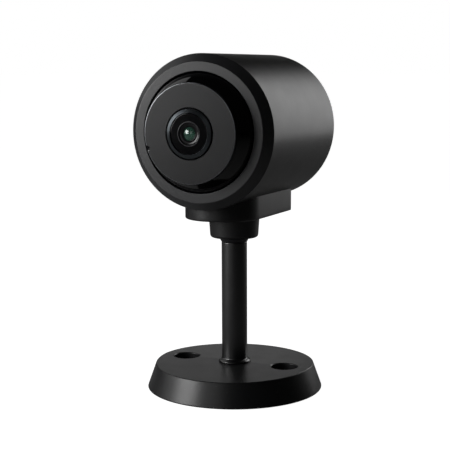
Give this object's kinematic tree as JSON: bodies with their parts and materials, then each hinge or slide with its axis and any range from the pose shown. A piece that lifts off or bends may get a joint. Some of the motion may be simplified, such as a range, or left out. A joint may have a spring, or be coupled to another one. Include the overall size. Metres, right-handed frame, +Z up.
{
  "type": "security camera",
  "caption": "Small indoor security camera: cylindrical head with a dark window dome and round face plate, on a ball-jointed pole with a round screw-down base.",
  "frame": {"origin": "centre of the base's underside, on the pole's axis", "axes": "+Z up along the pole, the camera looks along -Y, X runs across it through the two base screw holes"},
  "size_m": [0.0554, 0.0588, 0.1046],
  "materials": {
    "shell_black": "satin, fine spark texture",
    "bezel_grey": "satin",
    "base_grey": "matte on top, satin on the wall",
    "cover_black": "fine matte texture",
    "plate_grey": "dark anodised, satin",
    "ring_metal": "blue-grey anodised, turned",
    "window_dark": "gloss, infra-red window",
    "pole_black": "satin black paint",
    "ball_black": "blackened, satin",
    "steel_plain": "zinc plated",
    "rubber_black": "matte",
    "liner_white": "low-friction plastic",
    "lens_black": "black anodised",
    "lens_glass": "coated, green cast",
    "inner_black": "moulded",
    "coil_copper": "enamelled copper",
    "board_green": "solder mask",
    "chip_black": "moulded epoxy",
    "pad_blue": "soft gap pad",
    "sink_metal": "extruded",
    "lamp_clear": "clear epoxy",
    "flex_amber": "polyimide",
    "connector_ivory": "moulded",
    "card_black": "moulded",
    "speaker_black": "moulded basket, paper cone"
  },
  "bodies": {
    "stand": {"base_cover": "base_grey", "base_weight": "steel_plain", "base_pad": "rubber_black", "weight_screws": "steel_plain", "pole": "pole_black", "pole_screw": "steel_plain"},
    "ball": {"ball_stud": "ball_black"},
    "liner": {"socket_liner": "liner_white", "friction_pad": "liner_white", "disc_springs": "steel_plain"},
    "head": {"antenna": "coil_copper", "aperture_stop": "lens_black", "barrel": "shell_black", "board_parts": "chip_black", "card_socket": "steel_plain", "cover_screws": "steel_plain", "cup_nut": "steel_plain", "face_plate": "plate_grey", "filter_base": "inner_black", "filter_coil": "coil_copper", "filter_yoke": "steel_plain", "flat_cables": "flex_amber", "flex_connectors": "connector_ivory", "front_bezel": "bezel_grey", "front_frame": "inner_black", "front_lens": "lens_glass", "heat_sink": "sink_metal", "image_sensor": "chip_black", "infrared_leds": "lamp_clear", "led_board": "board_green", "led_board_screws": "steel_plain", "lens_barrel": "lens_black", "lens_holder": "inner_black", "lens_retainer": "lens_black", "lens_ring": "ring_metal", "light_pipe": "window_dark", "light_sensor": "chip_black", "main_board": "board_green", "microphone": "chip_black", "middle_lens": "lens_glass", "processor": "chip_black", "radio_module": "steel_plain", "rear_cover": "cover_black", "rear_lens": "lens_glass", "reset_switch": "chip_black", "saddle": "shell_black", "saddle_screws": "steel_plain", "sensor_board": "board_green", "sensor_board_screws": "steel_plain", "socket_cup": "shell_black", "speaker": "speaker_black", "status_led": "lamp_clear", "thermal_pad": "pad_blue", "usb_socket": "steel_plain", "window_dome": "window_dark", "window_gasket": "rubber_black"},
    "filter": {"filter_carrier": "inner_black", "filter_glasses": "lens_glass"},
    "card": {"memory_card": "card_black"},
    "button": {"reset_button": "inner_black"}
  },
  "joints": [
    {"name": "ball_swivel", "type": "hinge", "parent": "stand", "child": "ball", "pos_m": [0, 0, 0.049], "axis": [0, 0, 1], "continuous": true},
    {"name": "head_tilt", "type": "hinge", "parent": "ball", "child": "liner", "pos_m": [0, 0, 0.049], "axis": [1, 0, 0], "range_deg": [-20, 20]},
    {"name": "head_spin", "type": "hinge", "parent": "liner", "child": "head", "pos_m": [0, 0, 0.049], "axis": [0, 0, 1], "continuous": true},
    {"name": "filter_shift", "type": "slide", "parent": "head", "child": "filter", "axis": [-1, 0, 0], "range_m": [0, 0.006]},
    {"name": "card_eject", "type": "slide", "parent": "head", "child": "card", "axis": [0, 1, 0], "range_m": [0, 0.018]},
    {"name": "reset_press", "type": "slide", "parent": "head", "child": "button", "axis": [0, -1, 0], "range_m": [0, 0.0005], "stiffness_N_per_m": 400}
  ]
}
